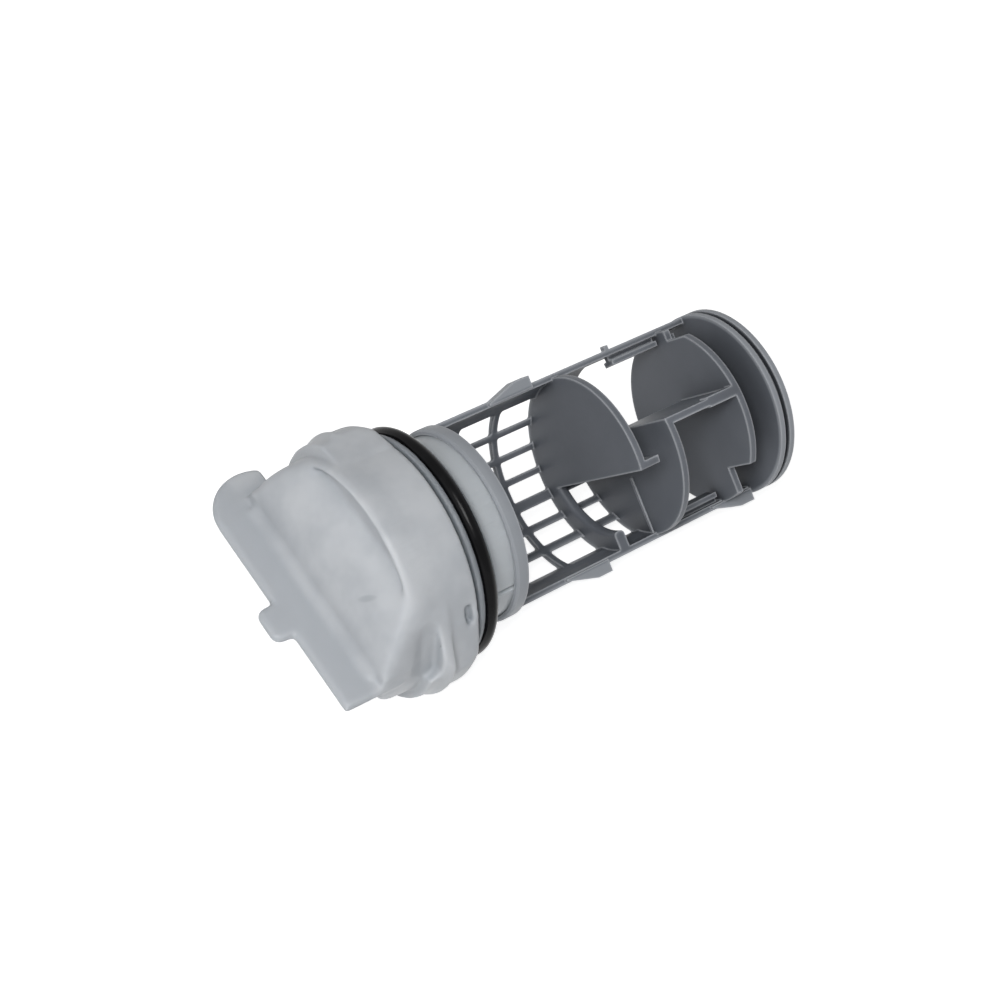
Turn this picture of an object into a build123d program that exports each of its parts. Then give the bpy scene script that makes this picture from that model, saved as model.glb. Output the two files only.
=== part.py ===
from build123d import *
import math
import os

# Drain pump filter of a washing machine: a turn grip cap, its sealing ring and a half mesh basket.
# The common axis is X and runs from the cap to the far end of the basket, and +Z is up.
# The origin is on the axis in the middle of the sealing ring. Lengths are in millimetres and angles
# in degrees. An angle about the axis is counted from +Y towards +Z.

# Sealing ring
seal_outer_radius = 30.5
seal_section = 3.5
seal_clearance = 0.15

# Cap, from the seal groove to the rim
flange_setback = 0.9
flange_thickness = 1.4
relief_depth = 3.0
relief_width = 1.0
rear_wall_setback = 2.2
rear_wall_thickness = 1.0
skirt_draft = 0.6
skirt_length = 18.7
rim_wall = 1.6
rim_taper = 0.8
recess_depth = 3.2
front_wall = 2.4

# Grip: a vault across the cap, and a flat plate that stands on it
grip_roll = 18.0
vault_radius = 25.0
vault_height = 8.4
vault_wall = 2.4
plate_thickness = 2.8
plate_reach = 10.2
plate_half_length = 31.0
plate_root = 6.0
plate_edge = 1.3
plate_fillet = 3.5
ear_radius = 12.0
ear_offset = 26.5
ear_gap = 1.0
nub_width = 10.0
nub_height = 4.9
nub_offset = -3.0
nub_corner = 2.5

# Bayonet lugs on the skirt, a pair half a turn apart, each with a front and a rear part
front_lug_start = 166.0
rear_lug_start = 177.0
lug_end = 262.0
lug_end_slope = 10.0
lug_front_height = 2.7
lug_crown_height = 4.1
lug_rear_height = 3.2
lug_tail_height = 1.7
lug_setback = 4.0
lug_front_length = 3.4
lug_rise_length = 2.2
lug_crown_length = 0.6
lug_rear_length = 5.4
lug_tail_length = 2.8
dimple_width = 6.0
dimple_length = 18.0
dimple_depth = 1.5
dimple_from_rim = 4.0
dimple_angle = 186.0
key_width = 2.0
key_length = 5.2
key_depth = 1.6
key_setback = 2.6
key_angle = 176.0

# Neck of the cap, which snaps into the basket
neck_radius = 24.2
neck_wall = 2.2
neck_length = 9.6
bead_setback = 1.05
bead_height = 0.5
bead_width = 0.7
bead_slope = 0.2
neck_clearance = 0.3
finger_arc = 30.0
finger_start = 186.0
finger_slit = 0.9
finger_root = 2.2

# Basket, drawn with its open side towards -Y and then rolled to its place
basket_roll = -39.3
collar_gap = 7.3
collar_length = 3.4
collar_wall = 1.3
collar_edge = 0.5
shell_setback = 0.55
baffle_sink = 0.55
wall = 1.6
baffle_wall = 1.9
bay_pitch = 13.0
last_bay = 12.0
long_bays = 3
hoop_width = 1.7
rail_arc = 13.0
spine_height = -5.15
spine_width = 2.7
bar_width = 1.7
upper_cell = 4.9
upper_rows = 4
lower_cell = 4.2
lower_rows = 3
cell_corner = 0.6

# Baffles inside the basket
upper_baffle_edge = -4.2
lower_baffle_edge = 5.0
lip_length = 4.2
rib_width = 4.8
rib_length = 3.0
rib_edge = 1.2
witness_width = 0.8
witness_height = 0.4
witness_offset = 1.4
witness_top = -8.0
shelf_rib = 0.4
shelf_rib_length = 9.5
divider_spacing = 22.6
divider_notch_side = 8.5
divider_notch_top = 15.5
divider_relief_start = 3.6
divider_relief_end = 12.0
divider_relief_height = 21.2

# End plug of the basket
plug_spacing = 8.5
plug_length = 4.6
plug_step = 0.25
plug_flange = 1.6
plug_groove_depth = 1.9
plug_cup_wall = 1.8
plug_cup_rim = 2.0

# Guide wedges and ledges on the two rails
wedge_length = 13.5
wedge_height = 2.1
wedge_width = 4.0
wedge_overhang = 1.0
wedge_flat = 4.5
wedge_sink = 1.2
upper_wedge_start = 18.0
lower_wedge_start = 19.6
far_wedge_start = 68.5
post_spacing = 4.3
post_length = 1.2
post_height = 1.2
ledge_spacing = 5.0
ledge_gap = 1.3
ledge_depth = 1.4
ledge_arc = 11.0
web_arc = 4.0
ledge_length = 15.0
stub_length = 3.6

# Parts of a turn
half_turn = 180.0
quarter_turn = 90.0

# Places and radii that follow from the sizes above. The rim of the skirt is flush with the sealing ring.
groove_half = seal_section / 2 + seal_clearance
groove_radius = seal_outer_radius - seal_section - seal_clearance
flange_radius = seal_outer_radius - flange_setback
relief_radius = flange_radius - relief_depth
rear_wall_radius = seal_outer_radius - rear_wall_setback
skirt_front_radius = seal_outer_radius
skirt_rear_radius = skirt_front_radius - skirt_draft
lug_front_radius = skirt_front_radius + lug_front_height
lug_crown_radius = skirt_front_radius + lug_crown_height
lug_rear_radius = skirt_front_radius + lug_rear_height
lug_tail_radius = skirt_front_radius + lug_tail_height
flange_front = -groove_half - flange_thickness
skirt_rear = flange_front - relief_width
rim = skirt_rear - skirt_length
recess_floor = rim + recess_depth
vault_top = rim - vault_height
plate_front = vault_top - plate_reach
rear_wall_end = groove_half + rear_wall_thickness
neck_end = rear_wall_end + neck_length
bore_radius = neck_radius - neck_wall
bore_floor = recess_floor + front_wall
collar_start = rear_wall_end + collar_gap
collar_end = collar_start + collar_length
collar_bore = neck_radius + neck_clearance
collar_shoulder = neck_end + neck_clearance
bead_place = neck_end - bead_setback
collar_radius = collar_bore + collar_wall
shell_radius = collar_radius - shell_setback
shell_bore = shell_radius - wall
baffle_radius = shell_bore + baffle_sink
plug_radius = shell_radius + plug_step
plug_groove_radius = plug_radius - plug_groove_depth
upper_baffle = collar_end + bay_pitch * long_bays
lower_baffle = upper_baffle + last_bay
hoop_places = [collar_end + bay_pitch * bay for bay in range(long_bays + 1)] + [lower_baffle]
mesh_end = lower_baffle + hoop_width / 2
divider = lower_baffle + divider_spacing
plug_start = divider + plug_spacing
plug_end = plug_start + plug_length


def turned(points, arc=360.0, start=0.0):
    """Solid of revolution about X from (x, radius) points, beginning at the start angle."""
    profile = make_face(Polyline(*points, close=True))
    return Rot(start, 0, 0) * revolve(profile, axis=Axis.X, revolution_arc=arc)


def band(x0, x1, r0, r1, arc=360.0, start=0.0):
    """Ring, or part of a ring, of rectangular section about X."""
    return turned([(x0, r0), (x1, r0), (x1, r1), (x0, r1)], arc, start)


def block(x0, x1, y0, y1, z0, z1):
    """Box between two corners."""
    centre = Pos((x0 + x1) / 2, (y0 + y1) / 2, (z0 + z1) / 2)
    return centre * Box(x1 - x0, y1 - y0, z1 - z0)


def seal_ring():
    """Round section sealing ring that lies in the groove of the cap."""
    return Rot(0, 90, 0) * Torus(seal_outer_radius - seal_section / 2, seal_section / 2)


def cap_body():
    """Turned form of the cap: neck with its bead, seal groove, flange, skirt and finger recess."""
    bead_half = bead_width / 2
    bead_radius = neck_radius + bead_height
    rim_inside = skirt_front_radius - rim_wall
    return turned([
        (neck_end, 0),
        (neck_end, neck_radius),
        (bead_place + bead_half + bead_slope, neck_radius),
        (bead_place + bead_half, bead_radius),
        (bead_place - bead_half, bead_radius),
        (bead_place - bead_half - bead_slope, neck_radius),
        (rear_wall_end, neck_radius),
        (rear_wall_end, rear_wall_radius),
        (groove_half, rear_wall_radius),
        (groove_half, groove_radius),
        (-groove_half, groove_radius),
        (-groove_half, flange_radius),
        (flange_front, flange_radius),
        (flange_front, relief_radius),
        (skirt_rear, relief_radius),
        (skirt_rear, skirt_rear_radius),
        (rim, skirt_front_radius),
        (rim, rim_inside),
        (recess_floor, rim_inside - rim_taper),
        (recess_floor, 0),
    ])


def grip_frame():
    """Turns a shape drawn along Y into the direction of the grip."""
    return Rot(grip_roll, 0, 0)


def vault_bar(radius, length):
    """Round bar along the grip whose top line follows the top of the vault."""
    return Pos(vault_top + vault_radius, 0, 0) * Rot(90, 0, 0) * Cylinder(radius, length)


def grip_vault():
    """Vaulted hump across the cap, flush with the skirt at the two ends of the grip."""
    drum = band(vault_top, bore_floor, 0, skirt_front_radius)
    return grip_frame() * vault_bar(vault_radius, 4 * skirt_front_radius) & drum


def plate_fillets():
    """Hollow fillets between the plate and the vault, one on each side of the plate."""
    side = plate_thickness / 2
    half_length = skirt_front_radius - plate_fillet
    vault_centre = vault_top + vault_radius
    scoop_centre = vault_centre - math.sqrt((vault_radius + plate_fillet) ** 2 - (side + plate_fillet) ** 2)
    corner = Pos(scoop_centre + plate_fillet, side + plate_fillet / 2) * Rectangle(
        2 * plate_fillet, plate_fillet
    )
    scoop = Pos(scoop_centre, side + plate_fillet) * Circle(plate_fillet)
    strip = extrude(Plane.XZ * (corner - scoop), amount=half_length, both=True)
    return [grip_frame() * strip, grip_frame() * mirror(strip, about=Plane.XY)]


def grip_plate():
    """Flat plate on the vault with a round ear at one end and a nub on its front edge."""
    root = vault_top + plate_root
    ear_place = plate_front + ear_radius
    blade = Pos((plate_front + root) / 2, (ear_offset - plate_half_length) / 2) * Rectangle(
        root - plate_front, ear_offset + plate_half_length
    )
    ear = Pos(ear_place, ear_offset) * Circle(ear_radius)
    nub = Pos(plate_front, nub_offset) * RectangleRounded(2 * nub_height, nub_width, nub_corner)
    plate = extrude(blade + ear + nub, amount=plate_thickness / 2, both=True)
    faces = plate.faces().filter_by(Axis.Z)
    plate = fillet(faces.edges(), plate_edge)
    far = ear_offset + 2 * ear_radius
    behind = block(rim - ear_gap, far, skirt_front_radius, far, -plate_thickness, plate_thickness)
    return grip_frame() * (plate - behind)


def ramp_cutter(angle, slope):
    """Block that takes off what stands above a plane through the skirt at an angle, tilted by the slope."""
    size = 2 * lug_crown_radius
    above = block(-size, size, 0, size, -size, size)
    return Rot(angle, 0, 0) * Pos(0, skirt_front_radius, 0) * Rot(slope, 0, 0) * above


def lug_part(points, start, end):
    """Part of a lug between two angles, which rises flat from its start and ramps down to its end."""
    part = turned(points, end - start, start)
    return part - ramp_cutter(start, 0.0) - ramp_cutter(end, lug_end_slope)


def bayonet_lug(turn):
    """Lug on the skirt, whose front part begins earlier and stands higher than its rear part."""
    inner = skirt_rear_radius - rim_wall
    front = rim + lug_setback
    rise = front + lug_front_length
    crown = rise + lug_rise_length
    step = crown + lug_crown_length
    rear = step + lug_rear_length
    tail = rear + lug_tail_length
    front_part = [
        (front, inner),
        (front, lug_front_radius),
        (rise, lug_front_radius),
        (crown, lug_crown_radius),
        (step, lug_crown_radius),
        (step, inner),
    ]
    rear_part = [
        (step, inner),
        (step, lug_rear_radius),
        (rear, lug_rear_radius),
        (tail, lug_tail_radius),
        (tail, inner),
    ]
    end = lug_end + turn
    return lug_part(front_part, front_lug_start + turn, end) + lug_part(rear_part, rear_lug_start + turn, end)


def dimple(turn):
    """Oval pocket in the skirt, across the front of a lug."""
    oval = SlotOverall(dimple_length, dimple_width)
    floor = skirt_front_radius - dimple_depth
    pocket = extrude(Plane.XZ * Rot(0, 0, 90) * oval, amount=-lug_crown_radius)
    return Rot(dimple_angle + turn, 0, 0) * Pos(rim + dimple_from_rim, floor, 0) * pocket


def key_notch(turn):
    """Small rectangular notch in the skirt close to its rear edge."""
    place = skirt_rear - key_setback
    depth = skirt_rear_radius - key_depth
    notch = block(
        place - key_width / 2, place + key_width / 2, depth, lug_crown_radius, -key_length / 2, key_length / 2
    )
    return Rot(key_angle + turn, 0, 0) * notch


def finger_cut(angle):
    """Slit through the neck beside a snap finger."""
    slit = block(rear_wall_end + finger_root, neck_end, 0, shell_radius, -finger_slit / 2, finger_slit / 2)
    return Rot(angle, 0, 0) * slit


def cap_hollow():
    """Bore of the cap with a vaulted floor behind the hump."""
    bore = band(bore_floor, neck_end, 0, bore_radius)
    inner_vault = grip_frame() * vault_bar(vault_radius - vault_wall, 4 * bore_radius)
    return bore + (inner_vault & band(vault_top, neck_end, 0, bore_radius))


def cap():
    """Whole cap as one moulding."""
    shape = cap_body() + grip_vault() + grip_plate() + plate_fillets()
    for turn in (0.0, half_turn):
        shape += bayonet_lug(turn)
    for turn in (0.0, half_turn):
        shape -= dimple(turn)
        shape -= key_notch(turn)
    shape -= cap_hollow()
    for turn in (0.0, half_turn):
        for side in (0.0, finger_arc):
            shape -= finger_cut(finger_start + side + turn)
    return shape


def half_disc(place, edge, upper):
    """Flat baffle cut off along a straight edge, of which the upper or lower part stays."""
    size = 4 * baffle_radius
    side = -1 if upper else 1
    cut = Pos(0, edge + side * size / 2) * Rectangle(size, size)
    face = Plane.YZ.offset(place - baffle_wall / 2) * (Circle(baffle_radius) - cut)
    return extrude(face, amount=baffle_wall)


def shelf(x0, x1, y0, y1, height, thickness):
    """Lengthwise wall at a height, trimmed to the round of the baffles."""
    wall_block = block(x0, x1, y0, y1, height - thickness / 2, height + thickness / 2)
    return wall_block & band(x0, x1, 0, baffle_radius)


def collar():
    """Ring at the mouth of the basket with the groove that holds the neck's bead."""
    groove_half_width = bead_width / 2 + bead_slope + neck_clearance
    groove_depth = neck_radius + bead_height + neck_clearance
    return turned([
        (collar_start, collar_bore),
        (bead_place - groove_half_width, collar_bore),
        (bead_place - groove_half_width, groove_depth),
        (bead_place + groove_half_width, groove_depth),
        (bead_place + groove_half_width, collar_bore),
        (collar_shoulder, collar_bore),
        (collar_shoulder, shell_bore),
        (collar_end, shell_bore),
        (collar_end, collar_radius),
        (collar_start + collar_edge, collar_radius),
        (collar_start, collar_radius - collar_edge),
    ])


def cell_rows():
    """Middle height and height of each row of windows, above and then below the spine."""
    rows = []
    lowest = spine_height + spine_width / 2 + upper_cell / 2
    for row in range(upper_rows):
        rows.append((lowest + row * (upper_cell + bar_width), upper_cell))
    highest = spine_height - spine_width / 2 - lower_cell / 2
    for row in range(lower_rows):
        rows.append((highest - row * (lower_cell + bar_width), lower_cell))
    return rows


def mesh_cells():
    """Windows of the mesh, all pulled straight out towards +Y."""
    cells = []
    for front, rear in zip(hoop_places, hoop_places[1:]):
        length = rear - front - hoop_width
        for height, size in cell_rows():
            window = Pos((front + rear) / 2, height) * RectangleRounded(length, size, cell_corner)
            cells.append(extrude(Plane.XZ * window, amount=-2 * shell_radius))
    return cells


def half_shell():
    """Half round wall from the collar to the plug: mesh in front, and only the two rails behind it."""
    end = plug_start + plug_flange / 2
    shell = band(collar_shoulder, end, shell_bore, shell_radius, half_turn, -quarter_turn)
    behind_mesh = band(
        mesh_end, plug_start, shell_bore - wall, shell_radius + wall,
        half_turn - 2 * rail_arc, rail_arc - quarter_turn,
    )
    return shell - behind_mesh - mesh_cells()


def rail_ledges(side):
    """Ledge under a rail behind the mesh and its stub in the last bay, on the +Z or -Z side."""
    outer = shell_bore - ledge_gap
    inner = outer - ledge_depth
    middle = side * (quarter_turn - ledge_arc / 2)
    first = mesh_end + ledge_spacing
    spans = [(first, first + ledge_length), (divider, divider + wall / 2 + stub_length)]
    pieces = []
    for x0, x1 in spans:
        pieces.append(band(x0, x1, inner, outer, ledge_arc, middle - ledge_arc / 2))
        pieces.append(band(x0, x1, inner, shell_bore + wall / 2, web_arc, middle - web_arc / 2))
    return pieces


def wedge(start, side):
    """Guide wedge on the outside of a rail, rising towards the plug."""
    foot = shell_radius - wedge_sink
    crest = shell_radius + wedge_height
    outline = Polyline(
        (start, foot),
        (start, shell_radius - wedge_sink / 2),
        (start + wedge_length - wedge_flat, crest),
        (start + wedge_length, crest),
        (start + wedge_length, foot),
        close=True,
    )
    lug = Pos(0, -wedge_overhang, 0) * extrude(Plane.XZ * make_face(outline), amount=-wedge_width)
    return lug if side > 0 else mirror(lug, about=Plane.XY)


def rail_nub():
    """Small post on the upper rail behind the mesh."""
    start = mesh_end + post_spacing
    foot = shell_radius - wedge_sink
    return block(start, start + post_length, 0, wedge_width / 2, foot, shell_radius + post_height)


def upper_half_baffle():
    """Upper baffle with the lip on its straight edge and the rib that carries on below it."""
    plate = half_disc(upper_baffle, upper_baffle_edge, True)
    lip = shelf(
        upper_baffle, upper_baffle + baffle_wall / 2 + lip_length, -baffle_radius, baffle_radius,
        upper_baffle_edge + baffle_wall / 2, baffle_wall,
    )
    rib_top = math.degrees(math.asin(upper_baffle_edge / baffle_radius))
    inner = shell_bore - rib_width
    face = upper_baffle - baffle_wall / 2
    rib = band(face, face + rib_length, inner, baffle_radius, quarter_turn + rib_top, -quarter_turn)
    round_edges = [edge for edge in rib.edges() if edge.geom_type == GeomType.CIRCLE]
    rib = fillet([edge for edge in round_edges if edge.radius < baffle_radius - baffle_wall], rib_edge)
    return plate + lip + rib


def lower_half_baffle():
    """Lower baffle with the fine witness line on its face."""
    face = lower_baffle - baffle_wall / 2
    line = block(
        face - witness_height, face, witness_offset - witness_width / 2, witness_offset + witness_width / 2,
        -shell_bore, witness_top,
    )
    return half_disc(lower_baffle, lower_baffle_edge, False) + line


def divider_disc():
    """Full disc with a corner notch beside the lower rail and a shallow one beside the upper rail."""
    face = Plane.YZ.offset(divider - baffle_wall / 2) * Circle(baffle_radius)
    disc = extrude(face, amount=baffle_wall)
    x0 = divider - baffle_wall
    x1 = divider + baffle_wall
    far = 2 * baffle_radius
    disc -= block(x0, x1, -far, -divider_notch_side, -far, -divider_notch_top)
    return disc - block(x0, x1, -divider_relief_end, -divider_relief_start, divider_relief_height, far)


def middle_shelf():
    """Lengthwise baffle_wall from the lower baffle to the divider with its thicker front edge."""
    height = lower_baffle_edge - baffle_wall / 2
    plate = shelf(lower_baffle, divider, -baffle_radius, 0, height, baffle_wall)
    rib = shelf(
        divider - shelf_rib_length, divider, -baffle_radius, -baffle_radius + 2 * baffle_wall,
        height, baffle_wall + 2 * shelf_rib,
    )
    return plate + rib


def end_plug():
    """Grooved plug at the far end, hollow from behind."""
    groove_start = plug_start + plug_flange
    groove_end = plug_end - plug_flange
    cup_radius = plug_groove_radius - plug_cup_rim
    return turned([
        (plug_start, 0),
        (plug_start, plug_radius),
        (groove_start, plug_radius),
        (groove_start, plug_groove_radius),
        (groove_end, plug_groove_radius),
        (groove_end, plug_radius),
        (plug_end, plug_radius),
        (plug_end, cup_radius),
        (plug_start + plug_cup_wall, cup_radius),
        (plug_start + plug_cup_wall, 0),
    ])


def filter_basket():
    """Whole basket as one moulding, rolled to its place about the axis."""
    pieces = [half_shell(), end_plug(), upper_half_baffle(), lower_half_baffle()]
    pieces += [divider_disc(), middle_shelf()]
    for side in (1, -1):
        pieces += rail_ledges(side)
    pieces.append(wedge(collar_end + upper_wedge_start, 1))
    pieces.append(wedge(collar_end + lower_wedge_start, -1))
    pieces.append(wedge(collar_end + far_wedge_start, -1))
    pieces.append(rail_nub())
    return Rot(basket_roll, 0, 0) * (collar() + pieces)


os.makedirs("parts", exist_ok=True)
export_step(seal_ring(), "parts/seal_ring.step")
export_step(cap(), "parts/cap.step")
export_step(filter_basket(), "parts/filter_basket.step")
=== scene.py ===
import math

import bmesh
import bpy
from bpy.props import FloatProperty, FloatVectorProperty, IntProperty, PointerProperty
from mathutils import Matrix, Vector


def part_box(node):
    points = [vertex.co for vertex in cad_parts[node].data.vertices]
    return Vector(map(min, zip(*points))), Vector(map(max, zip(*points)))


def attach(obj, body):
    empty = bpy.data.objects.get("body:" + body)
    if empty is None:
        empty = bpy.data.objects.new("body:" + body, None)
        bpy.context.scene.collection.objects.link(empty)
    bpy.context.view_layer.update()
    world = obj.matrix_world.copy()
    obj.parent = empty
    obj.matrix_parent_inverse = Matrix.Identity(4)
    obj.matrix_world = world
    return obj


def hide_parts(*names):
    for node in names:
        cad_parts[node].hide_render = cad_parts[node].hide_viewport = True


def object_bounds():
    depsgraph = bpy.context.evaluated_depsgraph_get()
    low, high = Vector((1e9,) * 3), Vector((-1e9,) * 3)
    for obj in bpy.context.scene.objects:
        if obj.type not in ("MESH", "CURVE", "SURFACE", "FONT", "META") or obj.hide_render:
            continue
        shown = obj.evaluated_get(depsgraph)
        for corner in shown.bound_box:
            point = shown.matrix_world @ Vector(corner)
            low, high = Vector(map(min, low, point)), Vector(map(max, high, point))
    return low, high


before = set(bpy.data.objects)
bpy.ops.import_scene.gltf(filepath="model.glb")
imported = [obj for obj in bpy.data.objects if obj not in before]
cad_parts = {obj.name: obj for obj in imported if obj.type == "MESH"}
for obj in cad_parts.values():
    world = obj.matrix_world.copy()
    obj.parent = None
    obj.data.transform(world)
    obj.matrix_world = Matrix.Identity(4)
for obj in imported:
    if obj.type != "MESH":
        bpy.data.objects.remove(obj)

bl_info = {
    "name": "Drain Filter Dresser",
    "version": (1, 0, 0),
    "blender": (4, 5, 0),
    "location": "View3D > Sidebar > Drain Filter",
    "description": "Gives the drain filter its moulded plastic, its rubber and a plain studio",
    "category": "Object",
}

CAD_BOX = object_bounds()
WHITE = (1.0, 1.0, 1.0, 1.0)
ACROSS_AXIS = (0.0, 1.0, 1.0)

# Mesh steps
WELD_DISTANCE = 1e-6
SMOOTH_FACTOR = 0.5
BEVEL_SEGMENTS = 2

# Camera
SENSOR_WIDTH = 36.0
NEAR_CLIP = 0.01

# Plastic and rubber as light sees them
PLASTIC_IOR = 1.49
PLASTIC_SPECULAR = 0.35
RUBBER_IOR = 1.52
RUBBER_SPECULAR = 0.08
MILK_REACH = (1.0, 0.95, 0.9)

# Colour sockets of the Mix node, which share their names with its other sockets
MIX_FIRST = 6
MIX_SECOND = 7
MIX_RESULT = 2

# Cloudy patterns
NOISE_DETAIL = 3.0
NOISE_ROUGHNESS = 0.55

# Rays sent out at each point to find edges and hollows
PROBE_RAYS = 6

# Low and high ends of a pattern or a measure that becomes a mask
CLOUD_ENDS = (0.32, 0.68)
BLOOM_ENDS = (0.40, 0.75)
FLOW_ENDS = (0.35, 0.70)
# The next two give the painted shade of the cap's and the basket's recesses.
CAP_SHADE_ENDS = (0.30, 0.97)
BASKET_SHADE_ENDS = (0.20, 0.90)
THIN_LIGHT_ENDS = (0.25, 0.65)
EDGE_HIGHLIGHT_ENDS = (0.01, 0.16)
MARK_ENDS = (0.05, 1.0)


def colour_prop(name, description, default):
    """Colour that a user may change, in linear light."""
    return FloatVectorProperty(
        name=name, description=description, default=default, size=3, subtype="COLOR", min=0.0, max=1.0
    )


def length_prop(name, description, default):
    """Length in metres that a user may change."""
    return FloatProperty(
        name=name, description=description, default=default, min=0.0, subtype="DISTANCE", unit="LENGTH",
        precision=5,
    )


def share_prop(name, description, default):
    """Plain share from nought to one."""
    return FloatProperty(
        name=name, description=description, default=default, min=0.0, max=1.0, subtype="FACTOR"
    )


def amount_prop(name, description, default):
    """Plain number above nought."""
    return FloatProperty(name=name, description=description, default=default, min=0.0)


def place_prop(name, description, default):
    """Point in metres in the frame of the part."""
    return FloatVectorProperty(
        name=name, description=description, default=default, size=3, subtype="TRANSLATION", unit="LENGTH"
    )


def heading_prop(name, description, default):
    """Direction in the frame of the part."""
    return FloatVectorProperty(
        name=name, description=description, default=default, size=3, subtype="DIRECTION"
    )


def angle_prop(name, description, degrees):
    """Angle that a user may change, given in degrees."""
    return FloatProperty(
        name=name, description=description, default=math.radians(degrees), subtype="ANGLE", unit="ROTATION"
    )


def count_prop(name, description, default, low=0):
    """Whole number that a user may change."""
    return IntProperty(name=name, description=description, default=default, min=low)


class CapSettings(bpy.types.PropertyGroup):
    """Sizes and colours of the milky cap."""

    voxel: length_prop("Voxel", "Grain of the remeshed moulding", 0.00042)
    soft_start: length_prop("Soft start", "Distance in front of the seal where edges become soft", 0.0045)
    soft_passes: count_prop("Soft passes", "Smoothing passes in front", 26)
    fine_passes: count_prop("Fine passes", "Smoothing passes on the neck", 2)
    rim_passes: count_prop("Rim passes", "Smoothing passes on rim and hump", 240)
    rim_start: length_prop("Rim start", "Where the softest zone begins, in front of the seal", 0.0200)
    rim_blend: length_prop("Rim blend", "Length over which the softest zone comes in", 0.0025)
    rim_place: length_prop("Rim place", "Distance of the rim in front of the seal", 0.0235)
    rim_radius: length_prop("Rim radius", "Distance from the axis beyond which the rim is soft", 0.0256)
    grip_roll: angle_prop("Grip roll", "Direction of the grip about the axis", 18.0)
    grip_half: length_prop("Grip half", "Half thickness of the plate's zone that keeps its form", 0.0042)
    keep: share_prop("Keep", "Share of the triangles that stays after thinning", 0.22)
    milk: colour_prop("Milk", "Main colour of the plastic", (0.448, 0.471, 0.500))
    cloud: colour_prop("Cloud", "Colour of the thicker, whiter places", (0.535, 0.555, 0.580))
    thin_wall: colour_prop("Thin wall", "Colour of the thin plate", (0.448, 0.472, 0.502))
    # Painted light: the neck is given a paler colour than the body, lifting it out of the skirt's shadow.
    neck: colour_prop("Neck", "Colour of the neck", (0.480, 0.508, 0.532))
    # Painted shade: this darker colour is mixed into the cap's recesses, such as the moat, where walls lie
    # near.
    hollow_shade: colour_prop("Hollow", "Colour of the hollows, which give out less light", (0.255, 0.280, 0.305))
    shade_reach: length_prop("Hollow reach", "How far the hollows look for walls", 0.007)
    # Painted shade: dark colour on the flange and the seal's groove between the skirt and the seal, where
    # shade falls.
    flange: colour_prop("Flange", "Colour of the shaded flange beside the seal", (0.205, 0.220, 0.240))
    plate_end: length_prop("Plate end", "Where the thin plate meets the hump, in front of the seal", 0.0320)
    plate_fade: length_prop("Plate fade", "Length over which the plate takes the hump's colour", 0.003)
    neck_start: length_prop("Neck start", "Where the thin neck begins, from the seal", 0.0024)
    flange_end: length_prop("Flange end", "Where the flange ends, in front of the seal", 0.0034)
    colour_step: length_prop("Colour step", "Length of the change of colour at neck and flange", 0.0004)
    cloud_size: length_prop("Cloud size", "Width of the cloudy patches", 0.014)
    cloud_dull: share_prop("Cloud dull", "Roughness that the cloudy patches add", 0.10)
    grain_size: length_prop("Grain size", "Width of the fine grain", 0.00035)
    grain_height: length_prop("Grain height", "Height of the fine grain", 0.00003)
    grain_strength: share_prop("Grain strength", "How clearly the fine grain shows", 0.5)
    grain_dull: share_prop("Grain dull", "Roughness that the fine grain adds", 0.05)
    gloss: share_prop("Gloss", "Roughness of the clearest skin", 0.36)
    scatter: share_prop("Scatter", "Share of the light that goes under the skin", 0.45)
    depth: length_prop("Depth", "How far light travels under the skin", 0.0035)
    slit_place: place_prop(
        "Slit place", "Middle of the short slit mark on the hump", (-0.02703, -0.01756, 0.00912)
    )
    slit_heading: heading_prop("Slit heading", "Direction of the slit", (0.456, -0.762, 0.456))
    slit_half: length_prop("Slit half", "Half length of the slit", 0.0034)
    slit_width: length_prop("Slit width", "Half width of the slit", 0.0010)
    # Painted shade in the slit's dent: the slit takes this share of the darker shade colour, besides its
    # sink in the bump.
    slit_shade: share_prop("Slit shade", "How far the slit takes the colour of the hollows", 0.35)
    slit_sink: amount_prop("Slit sink", "Depth of the slit in heights of the fine grain", 4.0)


class SealSettings(bpy.types.PropertyGroup):
    """Sizes and colours of the sealing ring."""

    turns: count_prop("Turns", "Segments round the ring", 180, 12)
    section: count_prop("Section", "Segments round the section", 28, 8)
    flash: length_prop("Flash", "Height of the fine moulding line", 0.00006)
    black: colour_prop("Black", "Main colour of the rubber", (0.003, 0.003, 0.0035))
    bloom: colour_prop("Bloom", "Colour of the dull bloom on the rubber", (0.006, 0.006, 0.007))
    bloom_size: length_prop("Bloom size", "Width of the patches of bloom", 0.006)
    bloom_share: share_prop("Bloom share", "How far the bloom covers the black", 0.6)
    bloom_dull: share_prop("Bloom dull", "Roughness that the bloom adds", 0.12)
    grain_size: length_prop("Grain size", "Width of the fine grain", 0.0004)
    grain_height: length_prop("Grain height", "Height of the fine grain", 0.00002)
    grain_strength: share_prop("Grain strength", "How clearly the fine grain shows", 0.6)
    gloss: share_prop("Gloss", "Roughness of the clean rubber", 0.16)


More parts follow.
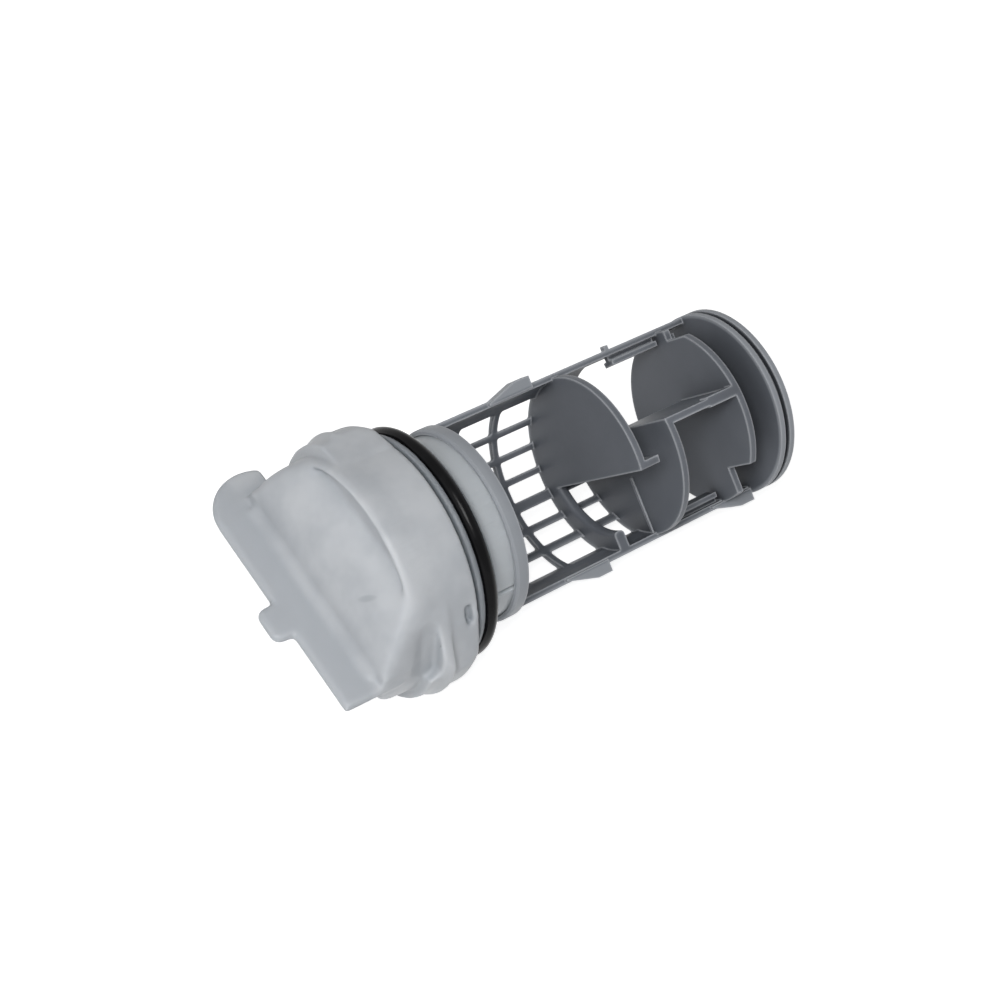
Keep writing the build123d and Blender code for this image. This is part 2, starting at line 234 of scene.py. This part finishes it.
class BasketSettings(bpy.types.PropertyGroup):
    """Sizes and colours of the grey basket."""

    edge: length_prop("Edge", "Width of the rounded edges", 0.0003)
    edge_angle: angle_prop("Edge angle", "Turn between two faces above which their edge is rounded", 35.0)
    flat_angle: angle_prop("Flat angle", "Turn between two faces below which they become one", 0.5)
    # Painted highlight: the edges found within this reach get a paler colour for the light that they catch.
    highlight_reach: length_prop("Rub", "Reach of the rubbed edges", 0.0010)
    # Painted shade: the inner faces get a darker grey than the outer faces, for the light that falls less
    # inside the basket.
    grey: colour_prop("Grey", "Main colour of the inner faces", (0.120, 0.131, 0.151))
    pale: colour_prop("Pale", "Colour of the paler flow patches", (0.141, 0.152, 0.173))
    # Painted light: the outer faces get a paler grey for the light that falls on them.
    outside: colour_prop("Outside", "Colour of the smooth faces outside", (0.290, 0.308, 0.336))
    # Painted light and shade: between these radii the darker inner grey turns into the paler outer grey.
    inner_radius: length_prop("Inner radius", "Distance from the axis where the inner faces end", 0.0242)
    outer_radius: length_prop("Outer radius", "Distance from the axis where the smooth faces begin", 0.0250)
    # Painted highlight on the edges, in a paler grey.
    highlighted: colour_prop("Rubbed", "Colour of the rubbed edges", (0.50, 0.52, 0.55))
    highlight_share: share_prop("Rubbed share", "How far the rubbed edges show", 0.75)
    # Painted shade: near black colour deep in the basket's hollows, such as the plug's groove and behind
    # the baffles.
    hollow_shade: colour_prop("Hollow", "Colour deep in the hollows", (0.040, 0.044, 0.052))
    shade_reach: length_prop("Hollow reach", "How far the hollows look for walls", 0.010)
    # Painted light: thin edges and bars face the light and are given a paler colour.
    thin: colour_prop("Thin", "Colour of thin edges and bars", (0.300, 0.317, 0.342))
    thin_reach: length_prop("Thin reach", "Wall below which plastic counts as thin", 0.0014)
    thin_light_share: share_prop("Thin share", "How far the thin edges and bars show", 0.7)
    flow_size: length_prop("Flow size", "Width of the flow patches", 0.018)
    flow_dull: share_prop("Flow dull", "Roughness that the flow patches add", 0.08)
    grain_size: length_prop("Grain size", "Width of the fine grain", 0.0005)
    grain_height: length_prop("Grain height", "Height of the fine grain", 0.00002)
    grain_strength: share_prop("Grain strength", "How clearly the fine grain shows", 0.5)
    grain_dull: share_prop("Grain dull", "Roughness that the fine grain adds", 0.06)
    gloss: share_prop("Gloss", "Roughness of the clearest skin", 0.42)


class StageSettings(bpy.types.PropertyGroup):
    """Camera, lamps and floor."""

    target: place_prop("Target", "Point that the camera looks at", (0.0181, -0.0079, 0.0101))
    heading: heading_prop("Heading", "Direction in which the camera looks", (0.45947, 0.62282, -0.63322))
    distance: length_prop("Distance", "From the camera to its target", 0.47)
    lens: amount_prop("Lens", "Focal length in millimetres on a 36 mm sensor", 69.5)
    floor: colour_prop("Floor", "Colour of the floor", (0.80, 0.80, 0.80))
    floor_size: length_prop("Floor size", "Side of the floor", 6.0)
    floor_glow: amount_prop("Floor glow", "White that the camera sees on the floor besides the light", 0.80)
    floor_near: length_prop("Floor near", "Distance from the part where the floor begins to fade", 0.22)
    floor_far: length_prop("Floor far", "Distance from the part where the floor is white", 0.7)
    sky: amount_prop("Sky", "Strength of the even light from all round", 0.16)
    key: amount_prop("Key", "Watts of the main lamp, over the cap's side of the camera", 2.8)
    key_size: length_prop("Key size", "Side of the main lamp", 0.24)
    key_place: place_prop("Key place", "Place of the main lamp from the target", (-0.31, -0.31, 0.44))
    fill: amount_prop("Fill", "Watts of the lamp in front of the cap", 0.35)
    fill_size: length_prop("Fill size", "Side of the lamp in front of the cap", 0.4)
    fill_place: place_prop("Fill place", "Place of the cap's lamp from the target", (-0.6, -0.1, 0.3))


class Signal:
    """A shader value that takes part in Python arithmetic."""

    def __init__(self, graph, socket):
        self.graph = graph
        self.socket = socket

    def math(self, operation, first, second):
        """Math node of two values."""
        return self.graph.node("ShaderNodeMath", {"operation": operation}, {0: first, 1: second})

    def __add__(self, other):
        return self.math("ADD", self, other)

    def __radd__(self, other):
        return self.math("ADD", other, self)

    def __sub__(self, other):
        return self.math("SUBTRACT", self, other)

    def __rsub__(self, other):
        return self.math("SUBTRACT", other, self)

    def __mul__(self, other):
        return self.math("MULTIPLY", self, other)

    def __rmul__(self, other):
        return self.math("MULTIPLY", other, self)


class Graph:
    """A node tree in which every node is made in one place."""

    def __init__(self, tree):
        self.tree = tree

    def plug(self, socket, value):
        """Links a signal to a socket, or sets its value."""
        if isinstance(value, Signal):
            self.tree.links.new(value.socket, socket)
        else:
            socket.default_value = value

    def node(self, kind, settings=None, sockets=None, output=0):
        """Any node: its settings come first, then the values or links of its sockets."""
        made = self.tree.nodes.new(kind)
        for key, value in (settings or {}).items():
            setattr(made, key, value)
        for key, value in (sockets or {}).items():
            self.plug(made.inputs[key], value)
        return Signal(self, made.outputs[output]) if made.outputs else None

    def place(self):
        """Place on the piece in metres."""
        return self.node("ShaderNodeTexCoord", output="Object")

    def vector(self, operation, first, second=None, output="Vector"):
        """Vector Math node of one or two vectors."""
        sockets = {0: first} if second is None else {0: first, 1: second}
        return self.node("ShaderNodeVectorMath", {"operation": operation}, sockets, output)

    def spread(self, value, low, high):
        """Value stretched so that low becomes nought and high becomes one."""
        sockets = {"Value": value, "From Min": low, "From Max": high}
        return self.node("ShaderNodeMapRange", {"clamp": True, "interpolation_type": "SMOOTHSTEP"}, sockets)

    def seen_straight(self):
        """One for the camera and for what it sees in mirrors and glass, and nought for other light."""
        camera = self.node("ShaderNodeLightPath", output="Is Camera Ray")
        glossy = self.node("ShaderNodeLightPath", output="Is Glossy Ray")
        clear = self.node("ShaderNodeLightPath", output="Is Transmission Ray")
        return camera + glossy + clear


class Finish(Graph):
    """A material with a principled shader, built from signals."""

    def __init__(self, name):
        self.material = bpy.data.materials.new(name)
        self.material.use_nodes = True
        super().__init__(self.material.node_tree)
        self.shader = self.tree.nodes["Principled BSDF"]

    def surface(self, **sockets):
        """Sets or links sockets of the principled shader, named with underscores."""
        for key, value in sockets.items():
            self.plug(self.shader.inputs[key.replace("_", " ")], value)

    def along_axis(self):
        """Place along the axis of the part in metres."""
        return self.node("ShaderNodeSeparateXYZ", None, {0: self.place()})

    def from_axis(self):
        """Distance from the axis of the part in metres."""
        across = self.vector("MULTIPLY", self.place(), ACROSS_AXIS)
        return self.vector("LENGTH", across, output="Value")

    def noise(self, width):
        """Cloudy value from nought to one whose patches have the given width in metres."""
        sockets = {
            "Vector": self.place(),
            "Scale": 1.0 / width,
            "Detail": NOISE_DETAIL,
            "Roughness": NOISE_ROUGHNESS,
        }
        return self.node("ShaderNodeTexNoise", {"noise_dimensions": "3D"}, sockets)

    def mix(self, factor, first, second):
        """Mix of two colours."""
        settings = {"data_type": "RGBA", "blend_type": "MIX"}
        sockets = {"Factor": factor, MIX_FIRST: colour(first), MIX_SECOND: colour(second)}
        return self.node("ShaderNodeMix", settings, sockets, MIX_RESULT)

    def dot(self, first, second):
        """Dot product of two vectors."""
        return self.vector("DOT_PRODUCT", first, second, "Value")

    def edge_mask(self, radius):
        """One on edges and nought on flats."""
        normal = self.node("ShaderNodeNewGeometry", output="Normal")
        rounded = self.node("ShaderNodeBevel", {"samples": PROBE_RAYS}, {"Radius": radius})
        return self.spread(1.0 - self.dot(rounded, normal), *EDGE_HIGHLIGHT_ENDS)

    def shelter(self, reach, inside=False):
        """One in the open and less in hollows, or less in thin walls where it looks inside."""
        settings = {"samples": PROBE_RAYS, "inside": inside, "only_local": True}
        return self.node("ShaderNodeAmbientOcclusion", settings, {"Distance": reach}, "AO")

    def short_mark(self, middle, heading, half_length, half_width):
        """One in the middle of a short lens shaped mark and nought beside it."""
        offset = self.vector("SUBTRACT", self.place(), middle)
        run = self.dot(offset, Vector(heading).normalized())
        along = run * run
        aside = self.dot(offset, offset) - along
        away = along * half_length ** -2 + aside * half_width ** -2
        return 1.0 - self.spread(away, *MARK_ENDS)

    def grain(self, height, look):
        """Normal pushed about by the fine grain."""
        sockets = {"Height": height, "Distance": look.grain_height, "Strength": look.grain_strength}
        return self.node("ShaderNodeBump", None, sockets)


def colour(value):
    """Colour with its alpha, or a signal as it is."""
    if isinstance(value, Signal):
        return value
    return (*value, 1.0)


def milky_plastic(look):
    """Slightly see-through white plastic with cloudy patches and a soft gloss, with painted shade in its
    recesses, its slit and on the flange by the seal, and painted light on its neck.
    """
    finish = Finish("milky_plastic")
    cloud = finish.spread(finish.noise(look.cloud_size), *CLOUD_ENDS)
    fine = finish.noise(look.grain_size)
    along = finish.along_axis()
    neck = finish.spread(along, look.neck_start, look.neck_start + look.colour_step)
    flange = finish.spread(along, -look.flange_end, look.colour_step - look.flange_end)
    thick = finish.spread(along, -look.plate_end - look.plate_fade, -look.plate_end)
    # Painted shade: one in the open and less where walls lie near, so the recesses take the darker shade
    # colour.
    unshaded = finish.spread(finish.shelter(look.shade_reach), *CAP_SHADE_ENDS)
    milk = finish.mix(thick, look.thin_wall, finish.mix(cloud, look.milk, look.cloud))
    # The slit is a dent in the bump and is darkened with painted shade.
    slit = finish.short_mark(look.slit_place, look.slit_heading, look.slit_half, look.slit_width)
    body = finish.mix(unshaded - look.slit_shade * slit, look.hollow_shade, milk)
    # Painted shade on the flange by the seal, and painted light on the neck behind it.
    behind = finish.mix(neck, look.flange, look.neck)
    finish.surface(
        Base_Color=finish.mix(flange, body, behind),
        Roughness=look.gloss + look.cloud_dull * cloud + look.grain_dull * fine,
        IOR=PLASTIC_IOR,
        Specular_IOR_Level=PLASTIC_SPECULAR,
        Subsurface_Weight=look.scatter,
        Subsurface_Radius=MILK_REACH,
        Subsurface_Scale=look.depth,
        Normal=finish.grain(fine - look.slit_sink * slit, look),
    )
    return finish.material


def black_rubber(look):
    """Smooth black rubber with a faint dull bloom."""
    finish = Finish("black_rubber")
    bloom = finish.spread(finish.noise(look.bloom_size), *BLOOM_ENDS)
    finish.surface(
        Base_Color=finish.mix(look.bloom_share * bloom, look.black, look.bloom),
        Roughness=look.gloss + look.bloom_dull * bloom,
        IOR=RUBBER_IOR,
        Specular_IOR_Level=RUBBER_SPECULAR,
        Normal=finish.grain(finish.noise(look.grain_size), look),
    )
    return finish.material


def grey_plastic(look):
    """Satin grey moulded plastic, paler where it flowed, with painted highlights on its edges and thin
    walls, painted light on its outer faces, and painted shade on its inner faces and deep in its hollows.
    """
    finish = Finish("grey_plastic")
    flow = finish.spread(finish.noise(look.flow_size), *FLOW_ENDS)
    fine = finish.noise(look.grain_size)
    # Painted highlight along the edges.
    highlighted = finish.edge_mask(look.highlight_reach)
    inner = finish.mix(flow, look.grey, look.pale)
    # Painted shade inside and painted light outside: the grey changes with the distance from the axis.
    outside = finish.spread(finish.from_axis(), look.inner_radius, look.outer_radius)
    # Painted shade deep in the hollows of the basket.
    unshaded = finish.spread(finish.shelter(look.shade_reach), *BASKET_SHADE_ENDS)
    # Painted light on thin edges and bars, found by looking inside the wall.
    thin = finish.spread(1.0 - finish.shelter(look.thin_reach, True), *THIN_LIGHT_ENDS)
    faces = finish.mix(outside, inner, look.outside)
    base = finish.mix(unshaded, look.hollow_shade, finish.mix(look.thin_light_share * thin, faces, look.thin))
    finish.surface(
        Base_Color=finish.mix(look.highlight_share * highlighted, base, look.highlighted),
        Roughness=look.gloss + look.flow_dull * flow + look.grain_dull * fine,
        IOR=PLASTIC_IOR,
        Specular_IOR_Level=PLASTIC_SPECULAR,
        Normal=finish.grain(fine, look),
    )
    return finish.material


def floor_paint(look):
    """Matt white floor that the camera sees brighter, so that it joins the white background."""
    material = bpy.data.materials.new("floor_paint")
    material.use_nodes = True
    material.node_tree.nodes.clear()
    graph = Graph(material.node_tree)
    matt = graph.node("ShaderNodeBsdfDiffuse", None, {"Color": colour(look.floor)})
    near = graph.node("ShaderNodeEmission", None, {"Strength": look.floor_glow})
    far = graph.node("ShaderNodeEmission", None, {"Strength": 1.0})
    none = graph.node("ShaderNodeEmission", None, {"Strength": 0.0})
    away = graph.vector("LENGTH", graph.place(), output="Value")
    faded = graph.spread(away, look.floor_near, look.floor_far)
    glow = graph.node("ShaderNodeMixShader", None, {0: faded, 1: near, 2: far})
    shown = graph.node("ShaderNodeMixShader", None, {0: graph.seen_straight(), 1: none, 2: glow})
    both = graph.node("ShaderNodeAddShader", None, {0: matt, 1: shown})
    graph.node("ShaderNodeOutputMaterial", None, {"Surface": both})
    return material


def add_piece(name, mesh):
    """New object with a mesh, in the scene."""
    piece = bpy.data.objects.new(name, mesh)
    bpy.context.scene.collection.objects.link(piece)
    return piece


def welded_mesh(node, name):
    """Copy of a node's mesh with its doubled points joined."""
    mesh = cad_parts[node].data.copy()
    mesh.name = name
    mesh.materials.clear()
    work = bmesh.new()
    work.from_mesh(mesh)
    bmesh.ops.remove_doubles(work, verts=work.verts, dist=WELD_DISTANCE)
    work.to_mesh(mesh)
    work.free()
    return mesh


def settle(piece):
    """Makes the modifiers of a piece part of its mesh."""
    graph = bpy.context.evaluated_depsgraph_get()
    graph.update()
    mesh = bpy.data.meshes.new_from_object(piece.evaluated_get(graph))
    mesh.name = piece.name
    piece.modifiers.clear()
    piece.data = mesh


def join_flats(mesh, angle):
    """Joins neighbouring faces that lie flat to each other."""
    work = bmesh.new()
    work.from_mesh(mesh)
    bmesh.ops.dissolve_limit(
        work, angle_limit=angle, verts=work.verts, edges=work.edges, use_dissolve_boundaries=False
    )
    work.to_mesh(mesh)
    work.free()


def round_edges(piece, look):
    """Adds a fine rounding to the sharp edges of a piece."""
    bevel = piece.modifiers.new("edges", "BEVEL")
    bevel.width = look.edge
    bevel.segments = BEVEL_SEGMENTS
    bevel.limit_method = "ANGLE"
    bevel.angle_limit = look.edge_angle
    bevel.use_clamp_overlap = True
    bevel.harden_normals = True


def shade_smooth(mesh):
    """Smooth shading on all faces."""
    mesh.polygons.foreach_set("use_smooth", [True] * len(mesh.polygons))
    mesh.update()


def soften(piece, look):
    """Rounds the edges of the cap in front of the seal, its rim most of all and its neck only a little."""
    everywhere = piece.vertex_groups.new(name="everywhere")
    front = piece.vertex_groups.new(name="front")
    rim = piece.vertex_groups.new(name="rim")
    across = Vector((-math.sin(look.grip_roll), math.cos(look.grip_roll)))
    for vertex in piece.data.vertices:
        everywhere.add([vertex.index], 1.0, "REPLACE")
        if vertex.co.x < -look.soft_start:
            front.add([vertex.index], 1.0, "REPLACE")
        aside = abs(vertex.co.yz.dot(across))
        on_plate = vertex.co.x < -look.rim_place and aside < look.grip_half
        outside = vertex.co.yz.length > look.rim_radius
        share = (-vertex.co.x - look.rim_start) / look.rim_blend
        if share > 0.0 and outside and not on_plate:
            rim.add([vertex.index], min(share, 1.0), "REPLACE")
    steps = (("everywhere", look.fine_passes), ("front", look.soft_passes), ("rim", look.rim_passes))
    for group, passes in steps:
        smooth = piece.modifiers.new(group, "SMOOTH")
        smooth.factor = SMOOTH_FACTOR
        smooth.iterations = passes
        smooth.vertex_group = group


def ring_mesh(name, look):
    """Sealing ring with the fine line of its mould round the outside and the inside."""
    low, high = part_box("seal_ring")
    tube = (high.x - low.x) / 2
    middle = (low.x + high.x) / 2
    radius = (high.z - low.z) / 2 - tube
    work = bmesh.new()
    loops = []
    for turn in range(look.turns):
        about = 2 * math.pi * turn / look.turns
        loop = []
        for step in range(look.section):
            angle = 2 * math.pi * step / look.section
            line = look.flash if step % (look.section // 2) == 0 else 0.0
            reach = radius + (tube + line) * math.cos(angle)
            point = (middle + tube * math.sin(angle), reach * math.cos(about), reach * math.sin(about))
            loop.append(work.verts.new(point))
        loops.append(loop)
    for turn in range(look.turns):
        here = loops[turn]
        there = loops[(turn + 1) % look.turns]
        for step in range(look.section):
            after = (step + 1) % look.section
            work.faces.new((here[step], here[after], there[after], there[step]))
    bmesh.ops.recalc_face_normals(work, faces=work.faces)
    mesh = bpy.data.meshes.new(name)
    work.to_mesh(mesh)
    work.free()
    return mesh


class FILTER_OT_cap(bpy.types.Operator):
    """Remeshes the cap so that its edges are softly rounded, and gives it milky plastic"""

    bl_idname = "filter.cap"
    bl_label = "Milky cap"

    def execute(self, context):
        look = context.scene.filter_cap
        piece = add_piece("cap_moulding", welded_mesh("cap", "cap_moulding"))
        remesh = piece.modifiers.new("grain", "REMESH")
        remesh.mode = "VOXEL"
        remesh.voxel_size = look.voxel
        settle(piece)
        soften(piece, look)
        thin = piece.modifiers.new("thin", "DECIMATE")
        thin.ratio = look.keep
        settle(piece)
        shade_smooth(piece.data)
        piece.data.materials.append(milky_plastic(look))
        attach(piece, "cap")
        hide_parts("cap")
        return {"FINISHED"}


class FILTER_OT_seal(bpy.types.Operator):
    """Makes the sealing ring with its moulding line"""

    bl_idname = "filter.seal"
    bl_label = "Sealing ring"

    def execute(self, context):
        look = context.scene.filter_seal
        piece = add_piece("rubber_ring", ring_mesh("rubber_ring", look))
        shade_smooth(piece.data)
        piece.data.materials.append(black_rubber(look))
        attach(piece, "cap")
        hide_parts("seal_ring")
        return {"FINISHED"}


class FILTER_OT_basket(bpy.types.Operator):
    """Rounds the edges of the basket a little and gives it grey plastic"""

    bl_idname = "filter.basket"
    bl_label = "Grey basket"

    def execute(self, context):
        look = context.scene.filter_basket
        mesh = welded_mesh("filter_basket", "basket_moulding")
        join_flats(mesh, look.flat_angle)
        piece = add_piece("basket_moulding", mesh)
        round_edges(piece, look)
        settle(piece)
        piece.data.materials.append(grey_plastic(look))
        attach(piece, "basket")
        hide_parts("filter_basket")
        return {"FINISHED"}


def add_lamp(name, place, target, size, watts):
    """Square soft lamp that points at a target."""
    lamp = bpy.data.lights.new(name, "AREA")
    lamp.shape = "SQUARE"
    lamp.size = size
    lamp.energy = watts
    holder = bpy.data.objects.new(name, lamp)
    holder.location = place
    holder.rotation_euler = (Vector(target) - Vector(place)).to_track_quat("-Z", "Y").to_euler()
    bpy.context.scene.collection.objects.link(holder)


def add_camera(look):
    """Camera that looks along the heading at the target, level with the horizon."""
    lens = bpy.data.cameras.new("camera")
    lens.lens = look.lens
    lens.sensor_width = SENSOR_WIDTH
    lens.clip_start = NEAR_CLIP
    holder = bpy.data.objects.new("camera", lens)
    ahead = Vector(look.heading).normalized()
    right = ahead.cross(Vector((0.0, 0.0, 1.0))).normalized()
    up = right.cross(ahead)
    place = Vector(look.target) - ahead * look.distance
    turn = Matrix((right, up, -ahead)).transposed()
    holder.matrix_world = Matrix.Translation(place) @ turn.to_4x4()
    bpy.context.scene.collection.objects.link(holder)
    bpy.context.scene.camera = holder


def add_floor(look):
    """Large floor under the lowest point of the part."""
    half = look.floor_size / 2
    mesh = bpy.data.meshes.new("floor")
    corners = [(-half, -half, 0), (half, -half, 0), (half, half, 0), (-half, half, 0)]
    mesh.from_pydata(corners, [], [(0, 1, 2, 3)])
    floor = add_piece("floor", mesh)
    floor.location.z = CAD_BOX[0].z
    mesh.materials.append(floor_paint(look))


def light_world(look):
    """Even grey light from all round, seen as white by the camera."""
    world = bpy.data.worlds.new("studio")
    bpy.context.scene.world = world
    world.use_nodes = True
    world.node_tree.nodes.clear()
    graph = Graph(world.node_tree)
    sky = graph.node("ShaderNodeBackground", None, {"Color": WHITE, "Strength": look.sky})
    white = graph.node("ShaderNodeBackground", None, {"Color": WHITE, "Strength": 1.0})
    shown = graph.node("ShaderNodeMixShader", None, {0: graph.seen_straight(), 1: sky, 2: white})
    graph.node("ShaderNodeOutputWorld", None, {"Surface": shown})


class FILTER_OT_stage(bpy.types.Operator):
    """Sets up the floor, the lamps, the background and the camera"""

    bl_idname = "filter.stage"
    bl_label = "Studio"

    def execute(self, context):
        look = context.scene.filter_stage
        add_floor(look)
        light_world(look)
        target = Vector(look.target)
        add_lamp("lamp_main", target + Vector(look.key_place), target, look.key_size, look.key)
        add_lamp("lamp_cap", target + Vector(look.fill_place), target, look.fill_size, look.fill)
        add_camera(look)
        context.scene.view_settings.view_transform = "Standard"
        return {"FINISHED"}


class FILTER_PT_panel(bpy.types.Panel):
    """Lists the steps that dress the drain filter"""

    bl_label = "Drain Filter"
    bl_idname = "FILTER_PT_panel"
    bl_space_type = "VIEW_3D"
    bl_region_type = "UI"
    bl_category = "Drain Filter"

    def draw(self, context):
        for step in STEPS:
            self.layout.operator(step.bl_idname)


STEPS = (FILTER_OT_cap, FILTER_OT_seal, FILTER_OT_basket, FILTER_OT_stage)
GROUPS = {
    "filter_cap": CapSettings,
    "filter_seal": SealSettings,
    "filter_basket": BasketSettings,
    "filter_stage": StageSettings,
}


def register():
    """Registers the settings, the steps and the panel."""
    for name, group in GROUPS.items():
        bpy.utils.register_class(group)
        setattr(bpy.types.Scene, name, PointerProperty(type=group))
    for step in STEPS:
        bpy.utils.register_class(step)
    bpy.utils.register_class(FILTER_PT_panel)


def unregister():
    """Takes everything away again."""
    bpy.utils.unregister_class(FILTER_PT_panel)
    for step in reversed(STEPS):
        bpy.utils.unregister_class(step)
    for name, group in reversed(GROUPS.items()):
        delattr(bpy.types.Scene, name)
        bpy.utils.unregister_class(group)


def main():
    """Dresses the part step by step."""
    register()
    bpy.ops.filter.cap()
    bpy.ops.filter.seal()
    bpy.ops.filter.basket()
    bpy.ops.filter.stage()


if __name__ == "__main__":
    main()
